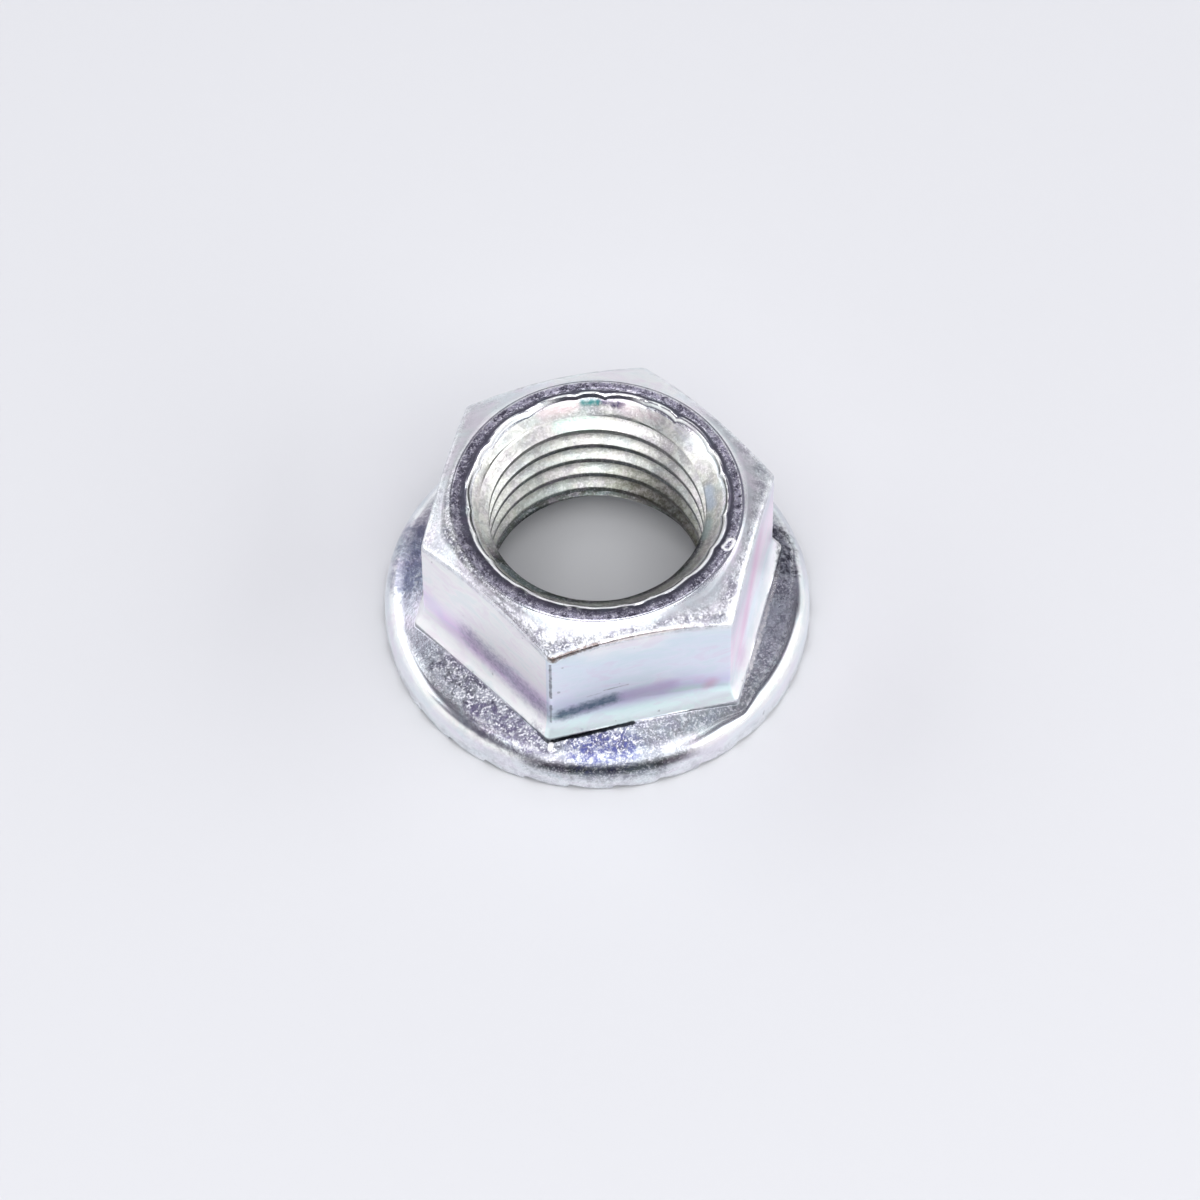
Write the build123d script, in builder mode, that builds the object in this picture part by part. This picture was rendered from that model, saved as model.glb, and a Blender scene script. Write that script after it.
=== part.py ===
from build123d import *
import os
from math import cos, radians, sin, sqrt, tan

# Serrated flange nut, M12 x 1.25, cold formed as one piece: a hexagon with a fixed flange.
# Millimetres and degrees. The origin is the centre of the bearing plane, where the crests of
# the serrations lie, and +Z runs along the thread axis towards the crown. Flats face +Y and -Y.

# Thread: the bore has the minor diameter of the nut thread
thread_diameter = 12.0
thread_pitch = 1.25
mouth_relief = 0.95  # how much wider the mouth in the crown is than the thread
mouth_angle = 100.0

# Hexagon and crown
flat_count = 6
across_flats = 16.0
nut_height = 9.85
corner_rounding = 0.3
crown_land = 0.775  # flat ring round the mouth
crown_angle = 30.0

# Flange
flange_overhang = 2.7  # from a flat out to the rim
rim_height = 1.75  # where the flange's slope would meet the rim
flange_slope = 18.0
rim_top_radius = 1.0
rim_foot_chamfer = 0.2

# Cove by which each flat flares out on to the flange
cove_radius = 2.5
cove_angle = 33.0

# Bearing side: the countersink to the thread, the relief round it, and the serrated ring
countersink_relief = 2.0  # how much wider the countersink is than the thread
countersink_angle = 90.0
relief_width = 0.9
relief_depth = 0.7
inner_land_width = 0.4  # unbroken ring inside the serrations

# Serrations: ratchet grooves, each with a gentle ramp and a steep locking face, and a narrow
# crest left standing between one groove and the next
groove_count = 30
groove_rim_depth = 0.4
crest_angle = 2.2
locking_face_angle = 0.8

# Worked out from the sizes above
minor_radius = (thread_diameter - 5 / 8 * sqrt(3) * thread_pitch) / 2
mouth_radius = (thread_diameter + mouth_relief) / 2
crown_radius = mouth_radius + crown_land
flat_radius = across_flats / 2
side_angle = 360 / flat_count
corner_radius = flat_radius / cos(radians(side_angle / 2))
rim_radius = flat_radius + flange_overhang
cove_reach = cove_radius * (1 - cos(radians(cove_angle)))
cove_foot_height = rim_height + (flange_overhang - cove_reach) * tan(radians(flange_slope))
cove_top_height = cove_foot_height + cove_radius * sin(radians(cove_angle))
countersink_radius = (thread_diameter + countersink_relief) / 2
bearing_inner_radius = countersink_radius + relief_width
groove_inner_radius = bearing_inner_radius + inner_land_width
overcut = 1.0  # how far a cutting shape runs past what it cuts

# Cove round one corner, from the middle of one flat to the middle of the next
with BuildPart() as corner_cove:
    with BuildLine() as corner_path:
        FilletPolyline(
            (0, flat_radius),
            (flat_radius * tan(radians(side_angle / 2)), flat_radius),
            (flat_radius * sin(radians(side_angle)), flat_radius * cos(radians(side_angle))),
            radius=corner_rounding,
        )
    with BuildSketch(Plane.YZ):
        with BuildLine():
            RadiusArc(
                (flat_radius, cove_top_height),
                (flat_radius + cove_reach, cove_foot_height),
                cove_radius,
            )
            Polyline(
                (flat_radius + cove_reach, cove_foot_height),
                (flat_radius + cove_reach, rim_height / 2),
                (flat_radius - corner_rounding / 2, rim_height / 2),
                (flat_radius - corner_rounding / 2, cove_top_height),
                (flat_radius, cove_top_height),
            )
        make_face()
    sweep(path=corner_path.wire())

# Cutter for one serration. It tapers towards the thread axis in width and depth alike, so its
# faces are flat, and its steep face is the one that bites when the nut turns back.
with BuildPart() as groove_cutter:
    for radius in (groove_inner_radius, rim_radius + overcut):
        depth = groove_rim_depth * radius / rim_radius
        half_width = radius * radians(360 / groove_count - crest_angle) / 2
        with BuildSketch(Plane.YZ.offset(radius)):
            with BuildLine():
                Polyline(
                    (-half_width, -overcut),
                    (-half_width, 0),
                    (-half_width + radius * radians(locking_face_angle), depth),
                    (half_width, 0),
                    (half_width, -overcut),
                    close=True,
                )
            make_face()
    loft(ruled=True)

with BuildPart() as flange_nut:
    # Hexagon, its corners cut back at the top by the crown cone
    with BuildSketch() as hexagon:
        RegularPolygon(radius=flat_radius, side_count=flat_count, major_radius=False)
        fillet(hexagon.vertices(), corner_rounding)
    extrude(amount=nut_height)
    with BuildSketch(Plane.XZ):
        with BuildLine():
            Polyline(
                (0, 0),
                (corner_radius, 0),
                (corner_radius, nut_height - (corner_radius - crown_radius) * tan(radians(crown_angle))),
                (crown_radius, nut_height),
                (0, nut_height),
                close=True,
            )
        make_face()
    revolve(axis=Axis.Z, mode=Mode.INTERSECT)

    # Flange, rounded at the top of its rim
    with BuildSketch(Plane.XZ) as flange_section:
        with BuildLine():
            Polyline(
                (0, 0),
                (rim_radius, 0),
                (rim_radius, rim_height),
                (0, rim_height + rim_radius * tan(radians(flange_slope))),
                close=True,
            )
        make_face()
        fillet(flange_section.vertices().group_by(Axis.X)[-1].sort_by(Axis.Y)[-1], rim_top_radius)
        chamfer(flange_section.vertices().group_by(Axis.X)[-1].sort_by(Axis.Y)[0], rim_foot_chamfer)
    revolve(axis=Axis.Z)
    with PolarLocations(0, flat_count):
        add(corner_cove.part)

    # Bore, countersunk from the crown and from the relief in the bearing side
    Cone(
        bottom_radius=bearing_inner_radius,
        top_radius=countersink_radius,
        height=relief_depth,
        align=(Align.CENTER, Align.CENTER, Align.MIN),
        mode=Mode.SUBTRACT,
    )
    with Locations(Plane.XY.offset(nut_height)):
        CounterSinkHole(minor_radius, mouth_radius, counter_sink_angle=mouth_angle)
    with Locations(Plane(origin=(0, 0, relief_depth), z_dir=(0, 0, -1))):
        CounterSinkHole(minor_radius, countersink_radius, counter_sink_angle=countersink_angle)

    # Serrations
    with PolarLocations(0, groove_count):
        add(groove_cutter.part, mode=Mode.SUBTRACT)

flange_nut.part.label = "flange_nut"
os.makedirs("parts", exist_ok=True)
export_step(flange_nut.part, "parts/flange_nut.step")
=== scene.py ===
import math

import bmesh
import bpy
import numpy as np
from mathutils import Matrix, Vector


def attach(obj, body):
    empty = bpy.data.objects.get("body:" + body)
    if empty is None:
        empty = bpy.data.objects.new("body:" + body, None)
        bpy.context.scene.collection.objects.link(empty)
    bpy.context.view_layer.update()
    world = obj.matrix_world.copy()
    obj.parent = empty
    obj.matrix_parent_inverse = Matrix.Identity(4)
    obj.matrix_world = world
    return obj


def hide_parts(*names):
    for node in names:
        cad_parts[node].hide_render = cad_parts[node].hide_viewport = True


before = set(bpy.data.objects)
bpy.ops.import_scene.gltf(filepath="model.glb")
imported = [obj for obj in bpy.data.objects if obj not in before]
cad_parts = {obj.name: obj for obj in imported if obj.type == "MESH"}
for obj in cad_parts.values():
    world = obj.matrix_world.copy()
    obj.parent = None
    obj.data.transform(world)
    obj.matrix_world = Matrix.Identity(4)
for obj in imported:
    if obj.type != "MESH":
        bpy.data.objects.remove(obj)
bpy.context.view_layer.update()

# A zinc-plated serrated flange nut. Lengths are in millimetres in the CAD's frame, and MM turns them
# into metres. Azimuths run anticlockwise from +X, and the photograph looks from about -105 degrees.
MM = 0.001
RANDOM = np.random.RandomState(12)

# ---------------------------------------------------------------- sizes of the nut, as in CAD
THREAD_DIAMETER = 12.0
PITCH = 1.25
MOUTH_RELIEF = 0.95
MOUTH_HALF_ANGLE = math.radians(50.0)
FLAT_RADIUS = 8.0
NUT_HEIGHT = 9.85
CORNER_ROUNDING = 0.3
CROWN_LAND = 0.775
CROWN_ANGLE = math.radians(30.0)
FLANGE_OVERHANG = 2.7
RIM_HEIGHT = 1.75
RIM_TOP_RADIUS = 1.0
RIM_FOOT = 0.2
FLANGE_SLOPE = math.radians(18.0)
COVE_RADIUS = 2.5
COVE_ANGLE = math.radians(33.0)
COUNTERSINK_RELIEF = 2.0
RELIEF_WIDTH = 0.9
RELIEF_DEPTH = 0.7
INNER_LAND_WIDTH = 0.4
GROOVE_COUNT = 30
GROOVE_RIM_DEPTH = 0.4
CREST_ANGLE = 2.2  # degrees, as the next
LOCKING_FACE_ANGLE = 0.8

# Worked out from the sizes above
MAJOR_RADIUS = THREAD_DIAMETER / 2
MINOR_RADIUS = MAJOR_RADIUS - 5 / 8 * math.sqrt(3) / 2 * PITCH
MOUTH_RADIUS = (THREAD_DIAMETER + MOUTH_RELIEF) / 2
CROWN_RADIUS = MOUTH_RADIUS + CROWN_LAND
FACET_MARGIN = 0.002  # so that no facet of the rim reaches past the CAD
RIM_RADIUS = FLAT_RADIUS + FLANGE_OVERHANG - FACET_MARGIN
COVE_REACH = COVE_RADIUS * (1 - math.cos(COVE_ANGLE))
COVE_FOOT_HEIGHT = RIM_HEIGHT + (FLANGE_OVERHANG - COVE_REACH) * math.tan(FLANGE_SLOPE)
COVE_TOP_HEIGHT = COVE_FOOT_HEIGHT + COVE_RADIUS * math.sin(COVE_ANGLE)
COUNTERSINK_RADIUS = (THREAD_DIAMETER + COUNTERSINK_RELIEF) / 2
BEARING_INNER_RADIUS = COUNTERSINK_RADIUS + RELIEF_WIDTH
GROOVE_INNER_RADIUS = BEARING_INNER_RADIUS + INNER_LAND_WIDTH
GROOVE_STEP = 360.0 / GROOVE_COUNT
HALF_GROOVE = (GROOVE_STEP - CREST_ANGLE) / 2

# ---------------------------------------------------------------- what forming left behind
# Forming left the flats a little out of true: where each faces, in degrees, and its reach
FLATS = ((28.9, 7.90), (90.0, 7.99), (151.2, 7.88), (209.0, 7.76), (269.0, 8.02), (331.2, 8.04))
LEFT_FLAT = 3
RIGHT_FLAT = 5
# Azimuths of the corners between them
CORNERS = (60.0, 119.9, 179.3, 240.6, 300.2, 359.1)
CROWN_EDGE_ROUNDING = 0.25
HEXAGON_EDGE_ROUNDING = 0.22
COVE_DIP = 0.45  # the cove's upper edge is this much lower at the corners

# A ridge was pushed up round the mouth. It stands on a land that is lowered by its height.
LAND_DROP = 0.06
LAND_HEIGHT = NUT_HEIGHT - LAND_DROP
RIDGE_WIDTH = 0.085
STRETCH_RANGE = (13.0, 27.0)  # degrees of one bowed stretch of the ridge
BOW_RANGE = (0.08, 0.18)  # how far the middle of a stretch bows out
BOW_TILT = 0.08  # how far one end of a stretch may lie outside the other
RIDGE_SETBACK = 0.08  # of the cusps from the mouth's edge
RIDGE_SHIFT = 0.09
SHIFTED_SIDE = -140.0  # the azimuth where the ridge lies closest to the axis
CUSP_SHARE = 0.55  # height of a cusp as a share of the height in the middle of a stretch
THICK_SIDE = -150.0  # the azimuth where the ridge is thickest, and crinkled
THICKENING = 0.7
THICK_SPREAD = 0.45
CRINKLE = 0.3
CRINKLE_COUNT = 31
FURROW_DEPTH = 0.02  # of the line between the ridge and the cone
FURROW_PLACE = -0.15
FURROW_WIDTH = 0.05

# The thread runs between these heights
THREAD_TOP = LAND_HEIGHT - 0.35
THREAD_BOTTOM = 1.6

# ---------------------------------------------------------------- columns: one for each azimuth
RAMP_COLUMNS = 8
CREST_COLUMNS = 2
CORNER_COLUMNS = (-1.7, -1.3, -0.95, -0.6, -0.3, 0.0, 0.3, 0.6, 0.95, 1.3, 1.7)
CLOSEST_COLUMNS = 0.12


def spaced(start, end, count):
    """Count values from start up to, but not including, end."""
    return [start + (end - start) * k / count for k in range(count)]


def column_azimuths():
    """Azimuths in radians: every edge of a serration, and closer steps round the corners."""
    wanted = []
    for k in range(GROOVE_COUNT):
        foot = k * GROOVE_STEP - HALF_GROOVE
        root = foot + LOCKING_FACE_ANGLE
        crest = k * GROOVE_STEP + HALF_GROOVE
        wanted += [foot] + spaced(root, crest, RAMP_COLUMNS)
        wanted += spaced(crest, crest + CREST_ANGLE, CREST_COLUMNS)
    for corner in CORNERS:
        wanted += [corner + turn for turn in CORNER_COLUMNS]
    wanted = sorted(way % 360.0 for way in wanted)
    kept = [wanted[0]]
    for way in wanted[1:]:
        if way - kept[-1] > CLOSEST_COLUMNS:
            kept.append(way)
    return np.radians(np.array(kept))


azimuth = column_azimuths()
degrees = np.degrees(azimuth)
columns = len(azimuth)


def turn_from(way):
    """Angle in radians of each column from an azimuth in degrees, the short way round."""
    return np.angle(np.exp(1j * (azimuth - math.radians(way))))


def ramp(value, start, end):
    """0 at start, 1 at end and level past them."""
    return np.clip((value - start) / (end - start), 0, 1)


def facing(way, start, end):
    """1 on the side of the nut that faces an azimuth, blended between two cosines of the turn."""
    return ramp(np.cos(azimuth - math.radians(way)), start, end)


def waves(counts, sizes):
    """A smooth irregular closed curve: a sum of waves round the axis with random phases."""
    total = np.zeros_like(azimuth)
    for count, size in zip(counts, sizes):
        total += size * np.sin(count * azimuth + RANDOM.uniform(0, 2 * math.pi))
    return total


# ---------------------------------------------------------------- the hexagon
ARC_POINTS = 13
OUTLINE_STEP = 0.05


def rounded_hexagon(offset):
    """Outline of the hexagon grown sideways by offset, as polar angles and radii."""
    ways = np.radians([way for way, _ in FLATS])
    normals = np.stack([np.cos(ways), np.sin(ways)], axis=-1)
    reaches = np.array([reach for _, reach in FLATS]) + offset
    points = []
    for k in range(len(FLATS)):
        pair = [k, (k + 1) % len(FLATS)]
        corner = np.linalg.solve(normals[pair], reaches[pair])
        middle = normals[pair].sum(axis=0)
        half_turn = math.acos(np.clip(np.dot(*normals[pair]), -1, 1)) / 2
        centre = corner - middle / np.linalg.norm(middle) * CORNER_ROUNDING / math.cos(half_turn)
        for share in np.linspace(0, 1, ARC_POINTS):
            angle = ways[k] + 2 * half_turn * share
            points.append(centre + CORNER_ROUNDING * np.array((math.cos(angle), math.sin(angle))))
    outline = []
    for here, ahead in zip(points, points[1:] + points[:1]):
        count = max(1, int(np.linalg.norm(ahead - here) / OUTLINE_STEP))
        outline += spaced(here, ahead, count)
    outline = np.array(outline)
    return np.arctan2(outline[:, 1], outline[:, 0]), np.hypot(outline[:, 0], outline[:, 1])


def hexagon_radius(offset=0.0):
    """Distance of each column from the axis to the rounded hexagon, grown sideways by offset."""
    angles, radii = rounded_hexagon(offset)
    angles = np.mod(angles, 2 * math.pi)
    order = np.argsort(angles)
    return np.interp(azimuth, angles[order], radii[order], period=2 * math.pi)


turned = np.stack([turn_from(way) for way, _ in FLATS], axis=-1)
flat_index = np.argmin(np.abs(turned), axis=1)
from_flat = np.degrees(turned[np.arange(columns), flat_index])
corner_share = ramp(np.abs(from_flat), 0.0, 30.0)

# ---------------------------------------------------------------- the ridge round the mouth


def ridge_shape():
    """Radius, height and width of the ridge: a chain of bowed stretches that end in cusps."""
    cusps = [0.0]
    while cusps[-1] < 360.0:
        cusps.append(cusps[-1] + RANDOM.uniform(*STRETCH_RANGE))
    cusps = np.append(np.array(cusps[:-1]) * 360.0 / cusps[-1], 360.0)
    stretch = np.clip(np.searchsorted(cusps, degrees, side="right") - 1, 0, len(cusps) - 2)
    along = (degrees - cusps[stretch]) / (cusps[stretch + 1] - cusps[stretch])
    bow_size = RANDOM.uniform(*BOW_RANGE, len(cusps))[stretch]
    tilt = RANDOM.uniform(-BOW_TILT, BOW_TILT, len(cusps))[stretch]
    arch = 4 * along * (1 - along)
    bow = bow_size * arch**0.7 + tilt * (along - 0.5) - RIDGE_SETBACK
    radius = MOUTH_RADIUS + bow - RIDGE_SHIFT * (1 + np.cos(azimuth - math.radians(SHIFTED_SIDE)))
    height = LAND_DROP * (CUSP_SHARE + (1 - CUSP_SHARE) * arch**0.5)
    height = height * (0.85 + 0.15 * np.sin(9 * azimuth + 1.0))
    width = RIDGE_WIDTH * (1 + THICKENING * np.exp(-((turn_from(THICK_SIDE) / THICK_SPREAD) ** 2)))
    crinkled = np.cos(azimuth - math.radians(THICK_SIDE)) > 0.5
    width = width * (1 + CRINKLE * np.sin(CRINKLE_COUNT * azimuth) * crinkled)
    return radius, height, width


ridge_radius, ridge_height, ridge_width = ridge_shape()


def mouth_height(radius):
    """Height of the crown's land, the ridge and the top of the cone at a radius."""
    cone = LAND_HEIGHT + (radius - MOUTH_RADIUS) / math.tan(MOUTH_HALF_ANGLE)
    ridge = ridge_height * np.exp(-(((radius - ridge_radius) / ridge_width) ** 2))
    from_furrow = (radius - ridge_radius - FURROW_PLACE) / FURROW_WIDTH
    return np.minimum(cone, LAND_HEIGHT) + ridge - FURROW_DEPTH * np.exp(-(from_furrow**2))


# ---------------------------------------------------------------- rows: the section, from the mouth round
rows = []
regions = []
CONE_ROW_RADII = (6.10, 6.16)
LAND_ROW_RADII = (6.86, 7.0, 7.1)
LAND_INNER_RADIUS = 6.9
# Offset of each row on the ridge from its centre line, and the shade of its paint: a painted highlight along
# the ridge's middle and painted shadow in the dark lines either side
RIDGE_ROWS = (
    (-0.22, 0.95),
    (-0.185, 0.75),
    (-0.15, 0.55),
    (-0.115, 0.8),
    (-0.08, 1.1),
    (-0.05, 1.15),
    (-0.02, 1.15),
    (0.01, 1.15),
    (0.04, 1.15),
    (0.075, 1.1),
    (0.115, 0.8),
    (0.165, 0.5),
    (0.22, 0.55),
)
# Place of each row on the crown's cone, and its share of the grain
CHAMFER_ROWS = ((0.2, 0.1), (0.4, 0.45), (0.6, 0.9), (0.8, 1.0))
FLAT_ROWS = (0.04, 0.15, 0.3, 0.45, 0.6, 0.75, 0.9, 1.0)
COVE_ROWS = 8
RIM_ROWS = 12
STEP_WIDTH = 0.05  # of the shallow step where the cove meets the flange
STEP_DEPTH = 0.004
FOOT_TURNS = (67.5, 45.0, 22.5, 0.0)  # degrees round the rounded foot of the rim
SERRATION_ROW_RADII = (10.0, 9.5, 9.0, 8.6, GROOVE_INNER_RADIUS)
LONGEST_REACH = 0.48  # how much of a profile's side a rounding may use up


def add_rows(points, region):
    for place in points:
        rows.append(place)
        regions.append(region)


def point(radius, height):
    """One profile point for every column."""
    return np.stack(np.broadcast_arrays(radius, height, azimuth)[:2], axis=-1)


def between(start, end, shares):
    return [start + (end - start) * share for share in shares]


def rounded(before, corner, after, radius, count):
    """Points of a circular arc that rounds a corner of the profile."""
    back = before - corner
    ahead = after - corner
    back_length = np.linalg.norm(back, axis=-1, keepdims=True)
    ahead_length = np.linalg.norm(ahead, axis=-1, keepdims=True)
    back = back / back_length
    ahead = ahead / ahead_length
    inner = np.arccos(np.clip(np.sum(back * ahead, axis=-1, keepdims=True), -1, 1))
    longest = LONGEST_REACH * np.minimum(back_length, ahead_length)
    reach = np.minimum(radius / np.tan(inner / 2), longest)
    weight = np.sin(inner / 2)
    points = []
    for t in np.linspace(0, 1, count):
        first, middle, last = (1 - t) ** 2, 2 * t * (1 - t) * weight, t**2
        mixed = first * (corner + back * reach) + middle * corner + last * (corner + ahead * reach)
        points.append(mixed / (first + middle + last))
    return points


def flange_height(radius):
    return RIM_HEIGHT + (RIM_RADIUS - radius) * math.tan(FLANGE_SLOPE)


def mouth_cone_radius(height):
    return MOUTH_RADIUS - (LAND_HEIGHT - height) * math.tan(MOUTH_HALF_ANGLE)


def countersink_cone_radius(height):
    return COUNTERSINK_RADIUS + RELIEF_DEPTH - height


def groove_share():
    """Depth of the ratchet grooves in each column, from 0 on a crest to 1 at a root."""
    local = np.mod(degrees + HALF_GROOVE, GROOVE_STEP) - HALF_GROOVE
    root = LOCKING_FACE_ANGLE - HALF_GROOVE
    locking = (local + HALF_GROOVE) / LOCKING_FACE_ANGLE
    rising = (HALF_GROOVE - local) / (HALF_GROOVE - root)
    return np.clip(np.where(local < root, locking, rising), 0.0, 1.0)


def add_mouth():
    """The top of the cone, the ridge and the crown's land."""
    add_rows([point(radius, mouth_height(radius)) for radius in CONE_ROW_RADII], "cone")
    for offset, _ in RIDGE_ROWS:
        radius = ridge_radius + offset
        add_rows([point(radius, mouth_height(radius))], "ridge")
    add_rows([point(radius, mouth_height(radius)) for radius in LAND_ROW_RADII], "land")


def add_hexagon():
    """The crown's cone, the flats and the cove. Gives the foot of the cove."""
    hexagon = hexagon_radius()
    crown_radius = CROWN_RADIUS + waves((2, 3, 5), (0.015, 0.015, 0.01))
    crown_edge = point(crown_radius, LAND_HEIGHT)
    chamfer_foot = point(hexagon, LAND_HEIGHT - (hexagon - crown_radius) * math.tan(CROWN_ANGLE))
    cove_top_height = COVE_TOP_HEIGHT - COVE_DIP * corner_share**2
    cove_top = point(hexagon, cove_top_height)
    land_inner = point(LAND_INNER_RADIUS, LAND_HEIGHT)
    crown_arc = rounded(land_inner, crown_edge, chamfer_foot, CROWN_EDGE_ROUNDING, 4)
    edge_arc = rounded(crown_edge, chamfer_foot, cove_top, HEXAGON_EDGE_ROUNDING, 6)
    add_rows(crown_arc, "crown_edge")
    add_rows(between(crown_arc[-1], edge_arc[0], [place for place, _ in CHAMFER_ROWS]), "chamfer")
    add_rows(edge_arc, "hex_edge")
    add_rows(between(edge_arc[-1], cove_top, FLAT_ROWS), "flat")
    for step in range(1, COVE_ROWS + 1):
        turn = COVE_ANGLE * step / COVE_ROWS
        drop = (cove_top_height - COVE_FOOT_HEIGHT) * math.sin(turn) / math.sin(COVE_ANGLE)
        outward = COVE_RADIUS * (1 - math.cos(turn))
        add_rows([point(hexagon_radius(outward), cove_top_height - drop)], "cove")
    return rows[-1]


def add_flange(cove_foot):
    """The step under the cove, the slope, the rim, and the serrated bearing side."""
    foot_radius = cove_foot[:, 0]
    foot_height = cove_foot[:, 1]
    step_height = foot_height - flange_height(foot_radius)
    step_radius = foot_radius + 0.7 * STEP_WIDTH
    add_rows([point(step_radius, foot_height - 0.3 * step_height - STEP_DEPTH)], "step")
    crease_radius = foot_radius + STEP_WIDTH
    crease = point(crease_radius, flange_height(crease_radius))
    add_rows([crease], "crease")
    rim_corner = point(RIM_RADIUS, RIM_HEIGHT)
    rim_arc = rounded(crease, rim_corner, point(RIM_RADIUS, RIM_FOOT), RIM_TOP_RADIUS, RIM_ROWS)
    add_rows(between(crease, rim_arc[0], (0.06, 0.25, 0.5, 0.75)), "flange")
    add_rows(rim_arc, "rim")
    groove = groove_share() * GROOVE_RIM_DEPTH / RIM_RADIUS
    wall_foot = point(RIM_RADIUS, np.maximum(RIM_FOOT, groove * RIM_RADIUS))
    add_rows(between(rim_arc[-1], wall_foot, (0.5, 1.0)), "wall")
    for turn in np.radians(FOOT_TURNS):
        radius = RIM_RADIUS - RIM_FOOT * (1 - math.sin(turn))
        add_rows([point(radius, np.maximum(RIM_FOOT * (1 - math.cos(turn)), groove * radius))], "foot")
    for radius in SERRATION_ROW_RADII:
        add_rows([point(radius, groove * radius)], "serration")
    bearing_edge = point(BEARING_INNER_RADIUS, 0.0)
    add_rows([point(GROOVE_INNER_RADIUS - 0.02, 0.0), bearing_edge], "bearing")
    relief_end = point(COUNTERSINK_RADIUS, RELIEF_DEPTH)
    add_rows(between(bearing_edge, relief_end, (0.05, 0.5, 0.95, 1.0)), "relief")
    cone_end = point(countersink_cone_radius(THREAD_BOTTOM), THREAD_BOTTOM)
    add_rows(between(relief_end, cone_end, (0.05, 0.35, 0.65, 0.9)), "lower_cone")


add_mouth()
add_flange(add_hexagon())

# ---------------------------------------------------------------- thread rows, sheared into a helix
# Share of the pitch from one crest's centre to the next, and how dark its paint is: the underside of
# each crest is painted dark as shade
TURN_ROWS = (
    (0.0, 0.85),
    (0.085, 0.55),
    (0.12, 0.2),
    (0.155, 0.0),
    (0.25, 0.0),
    (0.35, 0.0),
    (0.42, 0.0),
    (0.45, 0.0),
    (0.5, 0.0),
    (0.55, 0.0),
    (0.58, 0.0),
    (0.65, 0.0),
    (0.75, 0.3),
    (0.845, 0.92),
    (0.88, 0.97),
    (0.915, 0.97),
)
# Turns of rows past the ends of the thread, which are squeezed flat on to its ends
TURNS_BELOW = 2
TURNS_ABOVE = 2


def soft_max(first, second, blend):
    """The larger of two radii, with the meeting line rounded."""
    return (first + second + np.sqrt((first - second) ** 2 + blend**2)) / 2


def thread_radius(share):
    """Radius of the thread's surface at a share of the pitch from a crest's centre."""
    from_root = abs(share - 0.5)
    flank = MAJOR_RADIUS - (from_root - 1 / 16) * PITCH * math.sqrt(3)
    crest_side = soft_max(flank, MINOR_RADIUS, 0.04)
    return -soft_max(-crest_side, -(MAJOR_RADIUS - 0.01), 0.05)


def thread_row(turn, share):
    """One row of the thread, which climbs by a pitch from the first column to the last."""
    height = THREAD_BOTTOM + (turn - TURNS_BELOW + share + azimuth / (2 * math.pi)) * PITCH
    height = np.clip(height, THREAD_BOTTOM, THREAD_TOP)
    upper = mouth_cone_radius(height)
    lower = countersink_cone_radius(height)
    radius = soft_max(soft_max(thread_radius(share), upper, 0.03), lower, 0.03)
    ends = (height <= THREAD_BOTTOM) | (height >= THREAD_TOP)
    return point(np.where(ends, np.maximum(upper, lower), radius), height)


turn_count = TURNS_BELOW + math.ceil((THREAD_TOP - THREAD_BOTTOM) / PITCH) + TURNS_ABOVE
thread_rows = [thread_row(turn, share) for turn in range(turn_count) for share, _ in TURN_ROWS]
thread_count = len(thread_rows)
grid = np.array(thread_rows + rows)
heights = grid[:, :, 1]
row_regions = ["thread"] * thread_count + regions
row_count = len(grid)

# ---------------------------------------------------------------- paint: one colour for each point
PALEST = 0.97
FLOOR_SHARE = 0.80  # how much of the floor's light a smooth upright face gives back


def linear(red, green, blue):
    """A colour written as 0 to 255, as light."""
    values = np.array((red, green, blue), float) / 255
    return np.where(values <= 0.04045, values / 12.92, ((values + 0.055) / 1.055) ** 2.4)


def beside_floor(red, green, blue):
    """Paint for a smooth face that should look this colour beside the pale floor."""
    return np.minimum(linear(red, green, blue) / FLOOR_SHARE, PALEST)


STEEL = linear(238, 240, 244)
LAND_COLOUR = linear(192, 188, 206)
CHAMFER_COLOUR = linear(213, 214, 219)
FLANGE_COLOUR = linear(198, 200, 208)
BORE_COLOUR = linear(238, 238, 230)
BLUE = linear(150, 158, 200)
# Painted shade of the bore: under the crests, at the bottom, and deep on the near side
SHADOW_GREEN = linear(26, 48, 32)
DEEP_BORE_SHADE = SHADOW_GREEN * 0.42
BORE_BOTTOM_SHADE = linear(60, 66, 56)

# Tint of a flat from the foot of its cove (0) to its top edge (1), with some painted highlights among the
# tints
BLUE_TINTS = (
    (0.00, beside_floor(216, 236, 230)),
    (0.10, beside_floor(208, 230, 232)),
    (0.20, beside_floor(206, 200, 228)),
    (0.36, beside_floor(212, 216, 228)),
    (0.62, beside_floor(210, 215, 226)),
    (0.82, beside_floor(206, 215, 225)),
    (1.00, beside_floor(226, 226, 232)),
)
# The pink list also paints highlights: near white on the cove and along the flat's top edge
PINK_TINTS_AND_HIGHLIGHTS = (
    (0.00, beside_floor(232, 242, 244)),
    (0.10, beside_floor(244, 242, 252)),
    (0.22, beside_floor(220, 194, 230)),
    (0.45, beside_floor(236, 226, 238)),
    (0.70, beside_floor(228, 226, 234)),
    (0.84, beside_floor(230, 230, 236)),
    (0.90, beside_floor(246, 247, 249)),
    (1.00, beside_floor(248, 249, 250)),
)
# The magenta list also paints a highlight: near white at the foot of the cove
MAGENTA_TINTS_AND_HIGHLIGHTS = (
    (0.00, beside_floor(236, 238, 246)),
    (0.15, beside_floor(214, 218, 226)),
    (0.40, beside_floor(226, 212, 224)),
    (0.60, beside_floor(222, 204, 220)),
    (0.80, beside_floor(196, 194, 206)),
    (1.00, beside_floor(206, 208, 216)),
)
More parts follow.
